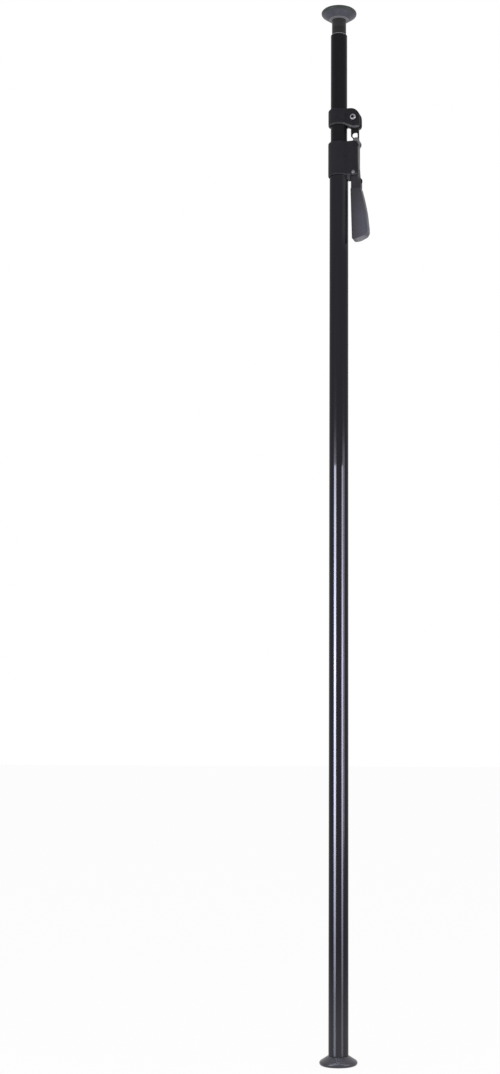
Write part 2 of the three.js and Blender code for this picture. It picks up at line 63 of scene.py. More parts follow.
class Value:
    """A number that comes out of a node. Sums, products and comparisons of it add Math nodes."""

    def __init__(self, owner, socket):
        self.owner = owner
        self.socket = socket

    def maths(self, operation, first, second):
        return self.owner.node("ShaderNodeMath", {"operation": operation}, {0: first, 1: second})

    def __add__(self, other):
        return self.maths("ADD", self, other)

    def __sub__(self, other):
        return self.maths("SUBTRACT", self, other)

    def __rsub__(self, other):
        return self.maths("SUBTRACT", other, self)

    def __mul__(self, other):
        return self.maths("MULTIPLY", self, other)

    def __gt__(self, other):
        return self.maths("GREATER_THAN", self, other)

    def __or__(self, other):
        return self.maths("MAXIMUM", self, other)

    __radd__ = __add__
    __rmul__ = __mul__


class Shading:
    """The nodes of one material, of a lamp or of the world."""

    def __init__(self, tree):
        self.tree = tree

    def node(self, kind, settings=None, values=None, out=0):
        """Adds a node: its settings first, then the values or links of its sockets."""
        made = self.tree.nodes.new(kind)
        for setting, value in (settings or {}).items():
            setattr(made, setting, value)
        for socket, value in (values or {}).items():
            self.feed(made.inputs[socket], value)
        return Value(self, made.outputs[out]) if made.outputs else made

    def feed(self, socket, value):
        """Links a value to a socket, or sets a plain number or colour on it."""
        if isinstance(value, Value):
            self.tree.links.new(value.socket, socket)
        else:
            socket.default_value = value

    def ramp(self, value, low, high, start=0.0, end=1.0):
        """Start where the value is low, end where it is high, evenly between, and level beyond."""
        return self.node("ShaderNodeMapRange", {"clamp": True}, {
            "Value": value, "From Min": low, "From Max": high, "To Min": start, "To Max": end})

    def behind(self):
        """1 for the rays that see the background, 0 for those that light the object."""
        seen = [self.node("ShaderNodeLightPath", out=ray) for ray in (
            "Is Camera Ray", "Is Glossy Ray", "Is Transmission Ray")]
        return seen[0] | seen[1] | seen[2]


world = bpy.data.worlds.new("studio")
bpy.context.scene.world = world
world.use_nodes = True
world.node_tree.nodes.clear()
sky = Shading(world.node_tree)
AMBIENT = 0.62
WHITE = (1, 1, 1, 1)
level = sky.behind() * (1 - AMBIENT) + AMBIENT
shine = sky.node("ShaderNodeBackground", None, {"Color": WHITE, "Strength": level})
sky.node("ShaderNodeOutputWorld", None, {"Surface": shine})

FLOOR_REACH = 40
FLOOR_GLOW = 0.94
floor_mesh = bpy.data.meshes.new("studio_floor")
ground = bmesh.new()
bmesh.ops.create_grid(ground, x_segments=1, y_segments=1, size=FLOOR_REACH)
ground.to_mesh(floor_mesh)
ground.free()
floor = bpy.data.objects.new("studio_floor", floor_mesh)
bpy.context.scene.collection.objects.link(floor)
paint = bpy.data.materials.new("studio_floor")
paint.use_nodes = True
paint.node_tree.nodes.clear()
pale = Shading(paint.node_tree)
matt = pale.node("ShaderNodeBsdfDiffuse", None, {"Color": (0.92, 0.92, 0.92, 1)})
white = pale.node("ShaderNodeEmission", None, {"Color": WHITE, "Strength": 1.0})
top = pale.node("ShaderNodeMixShader", None, {0: pale.behind() * FLOOR_GLOW, 1: matt, 2: white})
pale.node("ShaderNodeOutputMaterial", None, {"Surface": top})
floor_mesh.materials.append(paint)


def lamp(name, turn, away, height, size, watts, colour=(1, 1, 1), strip=False):
    """A soft box as wide and high as size says, that faces the pole from turn degrees round it.

    A strip shows only in gloss. It is brightest two thirds of the way up, and fades towards its two ends.
    """
    light = bpy.data.lights.new(name, "AREA")
    light.shape = "RECTANGLE"
    light.size, light.size_y = size
    light.energy = watts
    light.color = colour
    if strip:
        light.use_nodes = True
        light.node_tree.nodes.clear()
        glow = Shading(light.node_tree)
        place = glow.node("ShaderNodeNewGeometry", out="Parametric")
        along = glow.node("ShaderNodeSeparateXYZ", None, {0: place}, out=1)
        rise = glow.ramp(along, 0.09, 0.31, 0.13, 0.56) + glow.ramp(along, 0.31, 0.64, 0.0, 0.44)
        power = rise * glow.ramp(along, 0.66, 0.96, 1.0, 0.45)
        shown = glow.node("ShaderNodeEmission", None, {"Color": WHITE, "Strength": power})
        glow.node("ShaderNodeOutputLight", None, {"Surface": shown})
    box = bpy.data.objects.new(name, light)
    angle = math.radians(turn)
    box.location = (away * math.sin(angle), -away * math.cos(angle), height)
    box.rotation_euler = (math.pi / 2, 0, angle)
    box.visible_camera = False
    box.visible_diffuse = not strip
    bpy.context.scene.collection.objects.link(box)


BOX_AWAY, BOX_HEIGHT, BOX_SIZE = 3.2, 1.05, (1.8, 1.6)
STRIP_AWAY, STRIP_TOP = 0.12, 1.218
lamp("key_box", -30, BOX_AWAY, BOX_HEIGHT, BOX_SIZE, 50)
lamp("fill_box", 75, BOX_AWAY, BOX_HEIGHT, BOX_SIZE, 45)
for name, turn, width, watts, colour in (("left_strip", CAMERA_SIDE - 40.8, 0.047, 8, (0.86, 0.93, 1.0)),
                                         ("right_strip", CAMERA_SIDE + 41.3, 0.038, 3.75, (0.93, 0.92, 1.0))):
    lamp(name, turn, STRIP_AWAY, STRIP_TOP / 2, (width, STRIP_TOP), watts, colour, strip=True)


# Floor cup and ceiling cup. Each is a moulded rubber foot with a flat face, a round rim, a cone and a stem.
# A steel pan head screw, driven from inside the tube's plug, holds each stem.
MM = 0.001
CUP_RADIUS, CUP_HEIGHT, CUP_RIM = 37.95, 18.5, 7.4
CUP_HUB, CUP_STEM = 20.8, 15.25
GROOVE_INNER, GROOVE_OUTER, GROOVE_DEPTH = 25, 27.4, 1.2
FLOOR_STEM, CEILING_STEM = 8, 20.4
SCREW_HOLE, SCREW_HOLE_DEPTH = 3.2, 14
HUB_LIP = 1.4
CEILING = 2200.0
HALFWAY = 1000


def wire(shape, corners, closed=True, segments=6):
    """Edges through corners (x, y, z, rounding); the rounding starts that far from its corner."""
    dots = [shape.verts.new(corner[:3]) for corner in corners]
    for start, end in zip(dots, dots[1:] + (dots[:1] if closed else [])):
        shape.edges.new((start, end))
    for dot, corner in zip(dots, corners):
        if corner[3]:
            bmesh.ops.bevel(shape, geom=[dot], offset=corner[3], offset_type="OFFSET", segments=segments,
                            profile=0.5, affect="VERTICES", material=-1)


def turned(outline, steps=96, closed=False, segments=6):
    """A body turned about the pole's axis from an outline of (radius, height, rounding)."""
    shape = bmesh.new()
    wire(shape, [(corner[0], 0, corner[1], corner[2] if len(corner) > 2 else 0) for corner in outline],
         closed, segments)
    bmesh.ops.spin(shape, geom=shape.verts[:] + shape.edges[:], cent=(0, 0, 0), axis=(0, 0, 1),
                   angle=2 * math.pi, steps=steps, use_merge=True)
    bmesh.ops.remove_doubles(shape, verts=shape.verts, dist=0.0005)
    bmesh.ops.recalc_face_normals(shape, faces=shape.faces)
    return shape


def placed(name, shape, finish, slot, body, *nodes, crease=32):
    """Sets a finished piece, made in millimetres, in the scene, in place of the CAD nodes.

    Edges sharper than crease degrees stay crisp.
    """
    if isinstance(shape, bmesh.types.BMesh):
        mesh = bpy.data.meshes.new(name)
        shape.to_mesh(mesh)
        shape.free()
        mesh.shade_smooth()
        mesh.set_sharp_from_angle(angle=math.radians(crease))
    else:
        mesh = shape
        mesh.name = name
    mesh.transform(Matrix.Scale(MM, 4))
    mesh.materials.clear()
    mesh.materials.append(finish.material)
    piece = bpy.data.objects.new(name, mesh)
    bpy.context.scene.collection.objects.link(piece)
    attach(piece, body)
    if nodes:
        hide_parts(*nodes)
    return piece


class Finish(Shading):
    """A material with one Principled shader. Patterns read Object coordinates, in metres."""

    def __init__(self, name, **constants):
        self.material = bpy.data.materials.new(name)
        self.material.use_nodes = True
        super().__init__(self.material.node_tree)
        self.shader = self.tree.nodes["Principled BSDF"]
        for socket, value in constants.items():
            self.shader.inputs[socket.replace("_", " ").title().replace("Ior", "IOR")].default_value = value

    def noise(self, size, stretch=(1, 1, 1), detail=3.0, shift=(0, 0, 0), rough=0.5):
        """Cloudy noise from 0 to 1, whose patches are about size millimetres."""
        here = self.node("ShaderNodeTexCoord", out="Object")
        place = self.node("ShaderNodeMapping", None, {"Vector": here, "Scale": stretch, "Location": shift})
        return self.node("ShaderNodeTexNoise", None, {
            "Vector": place, "Scale": 1 / (size * MM), "Detail": detail, "Roughness": rough})

    def level(self, axis):
        """The place along an axis, in millimetres."""
        here = self.node("ShaderNodeTexCoord", out="Object")
        return self.node("ShaderNodeSeparateXYZ", None, {0: here}, out=axis) * (1 / MM)

    def edges(self, radius):
        """1 on edges that a hand or the floor rubs, 0 on flat places."""
        soft = self.node("ShaderNodeBevel", {"samples": 4}, {"Radius": radius * MM})
        hard = self.node("ShaderNodeNewGeometry", out="Normal")
        alike = self.node("ShaderNodeVectorMath", {"operation": "DOT_PRODUCT"}, {0: soft, 1: hard}, out="Value")
        return self.ramp(1 - alike, 0.02, 0.25)

    def blend(self, mask, first, second):
        """The first colour where the mask is 0, the second where it is 1."""
        return self.node("ShaderNodeMix", {"data_type": "RGBA"}, {0: mask, 6: first, 7: second}, out=2)

    def look(self, colour, roughness, metallic=None):
        """What the surface shows; metallic only where it changes from place to place."""
        self.feed(self.shader.inputs["Base Color"], colour)
        self.feed(self.shader.inputs["Roughness"], roughness)
        if metallic is not None:
            self.feed(self.shader.inputs["Metallic"], metallic)

    def bump(self, height, depth):
        """Raises the surface by height times depth millimetres."""
        self.feed(self.shader.inputs["Normal"], self.node("ShaderNodeBump", None, {
            "Strength": 1.0, "Distance": depth * MM, "Height": height}))


def grey(value, tint=(1, 1, 1)):
    """A grey colour, or one tinted by three factors."""
    return tuple(value * part for part in tint) + (1,)


rubber = Finish("rubber_blue_grey", specular_ior_level=0.3)
cloud = rubber.noise(14, detail=4)
grit = rubber.noise(0.9, detail=2)
height = rubber.level("Z")
scuff = rubber.ramp(rubber.noise(3, (1, 1, 6), 5, rough=0.7), 0.6, 0.78) * 0.6
worn = rubber.edges(1.2) * rubber.ramp(cloud, 0.35, 0.7)
RUBBER_TINT = (0.92, 0.9, 1.2)
base = rubber.blend(rubber.ramp(cloud, 0.3, 0.7), grey(0.044, RUBBER_TINT), grey(0.064, RUBBER_TINT))
upper = height > HALFWAY
# The floor cup is darker than the ceiling cup of the same rubber: painted shade.
base = rubber.blend((1 - upper) * 0.42, base, grey(0.02, RUBBER_TINT))
face_rim = rubber.ramp(height, CEILING - 10.5, CEILING - 7)
base = rubber.blend(face_rim, base, (0.026, 0.032, 0.031, 1))
base = rubber.blend((worn | scuff) * 0.4, base, grey(0.11, RUBBER_TINT))
hub_foot = CEILING - CUP_HEIGHT - HUB_LIP
above_stem = height > hub_foot - 0.3
# A thin lighter ring on the ceiling cup's hub, round the foot of the stem: painted light.
base = rubber.blend(above_stem * (1 - (height > hub_foot + 1.0)), base, grey(0.15, (1, 1, 1.1)))
rubber.look(rubber.blend(upper * (1 - above_stem), base, (0.0098, 0.0106, 0.01, 1)),
            rubber.ramp(cloud, 0.3, 0.7, 0.26, 0.36) + scuff * 0.2 + upper * 0.12)
rubber.bump(grit * 0.6 + cloud * 0.4, 0.05)


def cup(stem_length, lip, at):
    """Outline of a cup that lies face down at height 0, moved to its place by at()."""
    outline = [
        (0, 0, 0), (GROOVE_INNER, 0, 0.2), (GROOVE_INNER, GROOVE_DEPTH, 0.2), (GROOVE_OUTER, GROOVE_DEPTH, 0.2),
        (GROOVE_OUTER, 0, 0.2), (CUP_RADIUS, 0, 4.9), (CUP_RADIUS, CUP_RIM, 3.4),
        (CUP_HUB, CUP_HEIGHT - 0.3 + lip, 0.9), (CUP_STEM + 0.6, CUP_HEIGHT + lip, 0.3),
        (CUP_STEM, CUP_HEIGHT + 0.5 + lip, 0.3), (CUP_STEM, CUP_HEIGHT + stem_length, 0.6),
        (SCREW_HOLE, CUP_HEIGHT + stem_length, 0), (SCREW_HOLE, CUP_HEIGHT + stem_length - SCREW_HOLE_DEPTH, 0),
        (0, CUP_HEIGHT + stem_length - SCREW_HOLE_DEPTH, 0),
    ]
    return [(radius, at(height), rounding) for radius, height, rounding in outline]


def up_from_floor(height):
    return height


def down_from_ceiling(height):
    return CEILING - height


floor_cup = turned(cup(FLOOR_STEM, 0, up_from_floor), segments=5)
placed("floor_cup", floor_cup, rubber, "rubber", "root", "bottom_cup")
ceiling_cup = turned(cup(CEILING_STEM, HUB_LIP, down_from_ceiling), segments=5)
placed("ceiling_cup", ceiling_cup, rubber, "rubber", "upper_pole", "top_cup")


def as_object(name, shape):
    """A plain object, on which modifiers can work."""
    mesh = bpy.data.meshes.new(name)
    shape.to_mesh(mesh)
    shape.free()
    thing = bpy.data.objects.new(name, mesh)
    bpy.context.scene.collection.objects.link(thing)
    return thing


def cast(name, solids, cuts, skin=0.0, common=(), crease=32):
    """Joins the solids, keeps what the common ones share and takes the cuts away.

    A skin of that grain, smoothed a little, gives the soft edges and fillets of a casting.
    """
    body = as_object(name, solids[0])
    tools = []
    for operation, shapes in (("UNION", solids[1:]), ("INTERSECT", common), ("DIFFERENCE", cuts)):
        for shape in shapes:
            tools.append(as_object("tool", shape))
            step = body.modifiers.new("step", "BOOLEAN")
            step.operation = operation
            step.solver = "MANIFOLD"
            step.object = tools[-1]
    if skin:
        remesh = body.modifiers.new("skin", "REMESH")
        remesh.mode = "VOXEL"
        remesh.voxel_size = skin
        smooth = body.modifiers.new("soften", "SMOOTH")
        smooth.factor = 0.5
        smooth.iterations = 4
    bpy.context.view_layer.update()
    mesh = bpy.data.meshes.new_from_object(body.evaluated_get(bpy.context.evaluated_depsgraph_get()))
    for thing in tools + [body]:
        bpy.data.objects.remove(thing)
    mesh.shade_smooth()
    if not skin:
        mesh.set_sharp_from_angle(angle=math.radians(crease))
    return mesh


def brick(low, high):
    """A block between its lowest and highest corners, for joining and cutting."""
    shape = bmesh.new()
    bmesh.ops.create_cube(shape, size=1)
    bmesh.ops.scale(shape, vec=[b - a for a, b in zip(low, high)], verts=shape.verts)
    bmesh.ops.translate(shape, vec=[(a + b) / 2 for a, b in zip(low, high)], verts=shape.verts)
    return shape


def thread(crest, root, start, end, pitch):
    """Outline points of a thread's ridges from start to end."""
    count = round(abs(end - start) / pitch)
    step = (end - start) / count
    flat = step * 0.15
    points = []
    for i in range(count):
        points += [(crest, start + step * i), (root, start + step * (i + 0.5)),
                   (crest, start + step * (i + 1) - flat)]
    return points


def steel_finish(name, colour, roughness, tarnish=0.5):
    """Turned or plated steel: fine tool marks, and duller stains where it has tarnished."""
    steel = Finish(name, metallic=1.0)
    turning = steel.noise(0.3, (3, 1, 3), 3)
    cloud = steel.noise(2.2, detail=4)
    stain = steel.ramp(cloud, 0.45, 0.75) * tarnish
    dull = tuple(part * 0.45 for part in colour[:3]) + (1,)
    steel.base = steel.blend(stain, colour, dull)
    steel.look(steel.base, steel.ramp(turning, 0.3, 0.7, roughness, roughness + 0.14) + stain * 0.15)
    steel.bump(turning, 0.01)
    return steel


zinc = steel_finish("steel_zinc", (0.42, 0.43, 0.45, 1), 0.24)


def cup_screw(stem_length, at):
    """Pan head screw from the plug's floor into the cup's stem, with a cross recess."""
    tip = CUP_HEIGHT + stem_length - 13.7
    seat = CUP_HEIGHT + stem_length + 6.6
    outline = [(0, tip), (2.2, tip)] + thread(3, 2.5, tip + 0.6, seat - 3.2, 1) + [
        (3, seat - 2), (3, seat), (5.5, seat, 0.3), (5.2, seat + 2.6, 1), (3.6, seat + 4, 0.8), (0, seat + 4)]
    shape = turned([(corner[0], at(corner[1])) + corner[2:] for corner in outline], 40, segments=3)
    low, high = sorted((at(seat + 1.8), at(seat + 6)))
    cross = [brick((-2.6, -0.55, low), (2.6, 0.55, high)), brick((-0.55, -2.6, low), (0.55, 2.6, high))]
    return cast("screw", [shape], cross)


floor_screw = cup_screw(FLOOR_STEM, up_from_floor)
placed("floor_cup_screw", floor_screw, zinc, "steel", "root", "bottom_cup_screw")
ceiling_screw = cup_screw(CEILING_STEM, down_from_ceiling)
placed("ceiling_cup_screw", ceiling_screw, zinc, "steel", "upper_pole", "top_cup_screw")


# The two drawn tubes. Black anodised aluminium, satin, with faint draw lines and scuffs along their length.
# The lower one is 40 mm, the upper one 35.5 mm, both with a 1.8 mm wall and bare cut ends.
LOWER_RADIUS, LOWER_FOOT, LOWER_TOP = 20, 18.8, 1893.4
UPPER_RADIUS, UPPER_FOOT, UPPER_TOP = 17.75, 244.6, 2144.6
WALL = 1.8


def tube_finish(name, foot, top, slide_marks, gloss, metal, reflection_strength=0.0):
    """Satin black anodising. As metal it mirrors the lamps; dust and scuffs dull that, and a painted reflection on
    the lever side below the collar is lighter and less metallic.
    """
    tube = Finish(name, specular_ior_level=gloss, specular_tint=(0.7, 0.7, 0.7, 1) if metal else (1, 1, 1, 1))
    lines = tube.noise(0.5, (1, 1, 0.004), 4)
    cloud = tube.noise(60, (1, 1, 0.35), 4)
    scratches = tube.ramp(tube.noise(1.6, (1, 1, 0.03), 3, rough=0.75), 0.66, 0.72)
    scratches = scratches * tube.ramp(cloud, 0.45, 0.7)
    dust = tube.ramp(tube.noise(0.7, detail=5, rough=0.8), 0.68, 0.8) * 0.3
    rub = scratches * slide_marks | dust
    height = tube.level("Z")
    cut = (height > top - 0.35) | (1 - (height > foot + 0.35))
    # Painted reflection: the lever side of the tube's upper end, below the collar, is lighter and less metallic.
    painted_reflection = tube.ramp(tube.level("X") + cloud * 2, 11, 19) * tube.ramp(height, 1660, 1700) * reflection_strength
    lift = 2.5 if metal else 1.0
    paint = tube.blend(tube.ramp(lines, 0.3, 0.7), grey(0.008 * lift, (0.96, 0.93, 1.16)),
                       grey(0.0105 * lift, (0.98, 0.95, 1.14)))
    paint = tube.blend(painted_reflection, paint, (0.04, 0.04, 0.044, 1))
    # Greyer and less metallic towards the bottom of the tube.
    greyer_at_foot = tube.ramp(height + cloud * 60, 240, 90)
    dull = rub * 0.4 | greyer_at_foot * 0.45
    paint = tube.blend(dull, paint, (0.06, 0.06, 0.066, 1))
    tube.look(tube.blend(cut, paint, (0.45, 0.46, 0.48, 1)),
              tube.ramp(cloud + lines * 0.3, 0.35, 0.95, 0.1, 0.16) + rub * 0.15,
              cut | (1 - (dull | painted_reflection)) * metal)
    tube.bump(lines + rub * 0.3, 0.004)
    return tube


def tube(radius, foot, top):
    """A cut length of tube. A ring of points just inside each end keeps the long wall's shading straight."""
    inner, low, high = radius - WALL, foot + 1, top - 1
    return turned([(inner, low), (inner, foot, 0.3), (radius, foot, 0.4), (radius, low), (radius, high),
                   (radius, top, 0.4), (inner, top, 0.3), (inner, high)], steps=128, closed=True, segments=3)


def rivet_hole(height):
    """A hole at the pole's back, through the tube's wall and the collar."""
    return pin(RIVET_HOLE, (0, height), 12, 30, 32)


def across(outline, centre, steps=48, closed=False):
    """A body turned about the line front to back through centre (x, z), from (radius, depth, rounding)."""
    shape = turned(outline, steps, closed, segments=3)
    bmesh.ops.rotate(shape, verts=shape.verts, cent=(0, 0, 0), matrix=Matrix.Rotation(-math.pi / 2, 3, "X"))
    bmesh.ops.translate(shape, verts=shape.verts, vec=(centre[0], 0, centre[1]))
    return shape


def pin(radius, centre, front, back, steps=48):
    """A plain round bar through centre (x, z), for joining and cutting."""
    return across([(0, front), (radius, front), (radius, back), (0, back)], centre, steps)


RIVET_HEIGHTS, RIVET_HOLE = (1840.4, 1876.4), 2.6
lower_finish = tube_finish("tube_black_lower", LOWER_FOOT, LOWER_TOP, 0.4, 0.12, 1.0, 0.8)
rivet_holes = [rivet_hole(height) for height in RIVET_HEIGHTS]
lower_tube = cast("tube", [tube(LOWER_RADIUS, LOWER_FOOT, LOWER_TOP)], rivet_holes)
placed("lower_tube_drawn", lower_tube, lower_finish, "tube_black", "root", "lower_tube")
upper_finish = tube_finish("tube_black_upper", UPPER_FOOT, UPPER_TOP, 1.0, 0.06, 0.0)
upper_tube = tube(UPPER_RADIUS, UPPER_FOOT, UPPER_TOP)
placed("upper_tube_drawn", upper_tube, upper_finish, "tube_black", "upper_pole", "upper_tube")


# Plugs and bushes. Black moulded plastic with a fine spark grain, pressed in; the top plug's neck shows above
# the upper tube. A thin aluminium ring lies between the neck and the tube's cut end.
moulded = Finish("plastic_black_moulded", specular_ior_level=0.2)
grain = moulded.noise(0.35, detail=2)
cloud = moulded.noise(9, detail=3)
moulded.look(moulded.blend(cloud, grey(0.0135), (0.0165, 0.0175, 0.0168, 1)),
             moulded.ramp(cloud, 0.3, 0.7, 0.5, 0.62))
moulded.bump(grain, 0.03)

PLUG_LENGTH, PLUG_BORE, PLUG_FLOOR, PLUG_GAP = 30, 12.05, 6, 0.3
LOWER_FIT, UPPER_FIT = 17.9, 15.65


def plug(foot, neck, outer, at):
    """Outline of a cupped plug: its neck, its fit in the tube and the floor that the screw goes through."""
    end, floor_top = foot + neck + PLUG_LENGTH, foot + PLUG_FLOOR
    outline = [
        (SCREW_HOLE, foot, 0), (CUP_STEM, foot, 0.7), (CUP_STEM, foot + neck, 0.2), (outer, foot + neck, 0.4),
        (outer, end, 0.8), (PLUG_BORE, end, 0.4), (PLUG_BORE, floor_top, 0.8), (SCREW_HOLE, floor_top, 0),
    ]
    return [(radius, at(height), rounding) for radius, height, rounding in outline]


floor_plug = plug(CUP_HEIGHT + FLOOR_STEM + PLUG_GAP, 6, LOWER_FIT, up_from_floor)
ceiling_plug = plug(CUP_HEIGHT + CEILING_STEM + PLUG_GAP, 16.5, UPPER_FIT, down_from_ceiling)
GUIDE_BORE, GUIDE_FOOT, GUIDE_TOP = 18.05, 1893.7, 1899.7
guide_bush = [(GUIDE_BORE, GUIDE_FOOT, 0.5), (LOWER_RADIUS, GUIDE_FOOT, 0.3), (LOWER_RADIUS, GUIDE_TOP, 0.3),
              (GUIDE_BORE, GUIDE_TOP, 0.5)]
SLIDE_BORE, SLIDE_FOOT, SLIDE_STEP, SLIDE_TOP = 12.15, 230.3, 244.3, 269.3
slide_bush = [(SLIDE_BORE, SLIDE_FOOT, 0.5), (LOWER_FIT, SLIDE_FOOT, 0.8), (LOWER_FIT, 235, 0), (17.3, 235.6, 0),
              (17.3, 238.8, 0), (LOWER_FIT, 239.4, 0), (LOWER_FIT, SLIDE_STEP, 0.5), (UPPER_FIT, SLIDE_STEP, 0),
              (UPPER_FIT, SLIDE_TOP, 0.8), (SLIDE_BORE, SLIDE_TOP, 0.4)]
for name, outline, body, node in (("floor_plug", floor_plug, "root", "bottom_plug"),
                                  ("ceiling_plug", ceiling_plug, "upper_pole", "top_plug"),
                                  ("guide_bush_turned", guide_bush, "root", "guide_bush"),
                                  ("slide_bush_turned", slide_bush, "upper_pole", "slide_bush")):
    placed(name, turned(outline, closed=True, segments=3), moulded, "plastic_black", body, node)

ring_metal = Finish("aluminium_ring", metallic=1.0)
turning = ring_metal.noise(0.25, (0.05, 0.05, 6), 3)
ring_metal.look(ring_metal.blend(turning, (0.22, 0.225, 0.23, 1), (0.36, 0.365, 0.375, 1)),
                ring_metal.ramp(turning, 0.3, 0.7, 0.3, 0.42))
ring_metal.bump(turning, 0.01)
RING_BORE, RING_FOOT, RING_TOP = 15.27, 2144.65, 2146.1
neck_ring = [(RING_BORE, RING_FOOT, 0), (17, RING_FOOT, 0.2), (16.9, 2145.9, 0.4), (RING_BORE, RING_TOP, 0)]
placed("neck_ring", turned(neck_ring, closed=True, segments=3), ring_metal, "steel", "upper_pole")


# Collar. An aluminium casting riveted on the top of the lower tube, with two cheeks that hold the lever.
# Black powder coat over a cast skin, rubbed a little on its edges; its lower rim is lighter, partly wear and partly
# painted highlight. Places are (x, z) in the lever's plane.
PIVOT = (38.5, 1893.6)
CRANK = (38.8, 1904.8)
BOLT = (34.0, 1953.5)
STRIKE = (34.4, 1832.2)
CATCH = (42.0, 1821.0)
COLLAR_FOOT, COLLAR_TOP, COLLAR_RADIUS = 1826.4, 1902.0, 23
BAND_BEVEL, BAND_CROWN = 2.8, 3.2
CHEEKS_OUTER, CHEEKS_WIDE, CHEEK_EDGE = 43.8, 24, 1.2
LUG_FOOT, LUG_OUTER = COLLAR_FOOT - 8, 26.9
LOWER_BORE, LIP_BORE, LIP_FOOT = 20.3, 18.45, COLLAR_TOP - 2
FOOT_SLOPE = (17.75, 34)
LEVER_INNER = 27.9
POCKET_FLOOR, POCKET_HALF = LEVER_INNER - 0.3, 7.3
LINK_SLOT_HALF, CATCH_SLOT_HALF = 3.4, 2.3
PIN_HOLE, SMALL_PIN_HOLE = 3.4, 2.7
OVERCUT = 5


def slab(corners, thickness, edge=0.0, rim_segments=3):
    """A plate from corners (x, z, rounding), as thick as given, with its middle at y = 0 and its rims rounded."""
    shape = bmesh.new()
    front = -thickness / 2
    wire(shape, [(corner[0], front, corner[1], corner[2] if len(corner) > 2 else 0) for corner in corners])
    face = bmesh.ops.contextual_create(shape, geom=shape.edges[:])["faces"]
    pushed = bmesh.ops.extrude_face_region(shape, geom=face)["geom"]
    moved = [part for part in pushed if isinstance(part, bmesh.types.BMVert)]
    bmesh.ops.translate(shape, vec=(0, thickness, 0), verts=moved)
    bmesh.ops.recalc_face_normals(shape, faces=shape.faces)
    if edge:
        rims = [rim for rim in shape.edges if abs(rim.verts[0].co.y - rim.verts[1].co.y) < thickness / 2]
        bmesh.ops.bevel(shape, geom=rims, offset=edge, offset_type="OFFSET", segments=rim_segments,
                        profile=0.5, affect="EDGES", material=-1, clamp_overlap=True)
    return shape


def hole(radius, centre):
    """A round hole through a whole casting, front to back."""
    return pin(radius, centre, -20, 20)


def coat_finish(name, colour, wear_and_highlight_colour, wear_and_highlight, grain_size=0.8, roughness=(0.48, 0.6), gloss=0.08, foot=None):
    """Powder coat or paint over a casting: grain, patches, and lighter rubbed edges.

    A foot, the heights of the lower rim beside the tube and at the lever's side, is lighter along its rim: partly
    rubbed wear, partly a painted highlight with glints.
    """
    coat = Finish(name, specular_ior_level=gloss)
    cloud = coat.noise(11, detail=4)
    grain = coat.noise(grain_size, detail=3)
    rubbed = coat.edges(0.9) * coat.ramp(coat.noise(7, detail=4, rough=0.6), 0.35, 0.65, 0.25, 1.0) * wear_and_highlight
    chips = coat.ramp(coat.noise(1.8, detail=4, rough=0.75, shift=(3, 1, 2)), 0.72, 0.76) * wear_and_highlight * 0.5
    dark = tuple(part * 0.8 for part in colour[:3]) + (1,)
    coat.mark = rubbed | chips
    if foot:
        # The lighter band along the foot's rim is partly rubbed wear and partly a painted highlight with glints.
        sideways = coat.level("X")
        above = coat.level("Z") - coat.ramp(sideways, *FOOT_SLOPE, *foot)
        along = coat.ramp(sideways, 8, 20, 0.35, 1.0) * coat.ramp(coat.noise(5, detail=4), 0.3, 0.6, 0.4, 1.0)
        coat.mark = coat.mark | coat.ramp(above, 3.4, 1.4) * along * wear_and_highlight
    coat.base = coat.blend(coat.mark, coat.blend(coat.ramp(cloud, 0.3, 0.7), dark, colour), wear_and_highlight_colour)
    coat.rough = coat.ramp(cloud, 0.3, 0.7, *roughness) - coat.mark * 0.15
    coat.look(coat.base, coat.rough)
    coat.bump(grain * 0.7 + cloud * 0.3 - coat.mark * 0.2, 0.06)
    return coat


COAT_WEAR_AND_HIGHLIGHT = (0.1, 0.1, 0.11, 1)
black_coat = coat_finish("powder_coat_black", (0.0155, 0.0148, 0.019, 1), COAT_WEAR_AND_HIGHLIGHT, 0.5)
collar_coat = coat_finish("powder_coat_collar", (0.0175, 0.0167, 0.0212, 1), COAT_WEAR_AND_HIGHLIGHT, 0.5,
                          foot=(COLLAR_FOOT, COLLAR_FOOT))
pivot_x, pivot_z = PIVOT
strike_x, strike_z = STRIKE
sleeve = turned([(0, COLLAR_FOOT), (COLLAR_RADIUS, COLLAR_FOOT, BAND_BEVEL), (COLLAR_RADIUS, COLLAR_TOP, BAND_CROWN),
                 (0, COLLAR_TOP)], 128)
cheeks = slab([(0, COLLAR_FOOT), (CHEEKS_OUTER, COLLAR_FOOT, 3.5), (CHEEKS_OUTER, COLLAR_TOP, 7.8),
               (0, COLLAR_TOP)], CHEEKS_WIDE, CHEEK_EDGE)
lug = slab([(0, LUG_FOOT), (LUG_OUTER, LUG_FOOT, 1.5), (LUG_OUTER, COLLAR_FOOT + 4), (0, COLLAR_FOOT + 4)], 15, 0.9)
below, above = LUG_FOOT - OVERCUT, COLLAR_TOP + OVERCUT
collar_bore = turned([(0, below), (LOWER_BORE, below), (LOWER_BORE, LIP_FOOT), (LIP_BORE, LIP_FOOT),
                      (LIP_BORE, above), (0, above)], 128)
pocket = brick((POCKET_FLOOR, -POCKET_HALF, COLLAR_FOOT - OVERCUT), (50, POCKET_HALF, above))
lobe_room = pin(17.5, PIVOT, -7.5, 7.5, 96)
link_slot = brick((19.7, -LINK_SLOT_HALF, pivot_z - 7.4), (POCKET_FLOOR + OVERCUT, LINK_SLOT_HALF, COLLAR_TOP + 6))
catch_slot = brick((POCKET_FLOOR - 2.6, -CATCH_SLOT_HALF, below),
                   (POCKET_FLOOR + OVERCUT, CATCH_SLOT_HALF, strike_z + 4))
collar_cuts = [collar_bore, pocket, lobe_room, link_slot, catch_slot, hole(PIN_HOLE, PIVOT),
               hole(SMALL_PIN_HOLE, STRIKE)] + [rivet_hole(height) for height in RIVET_HEIGHTS]
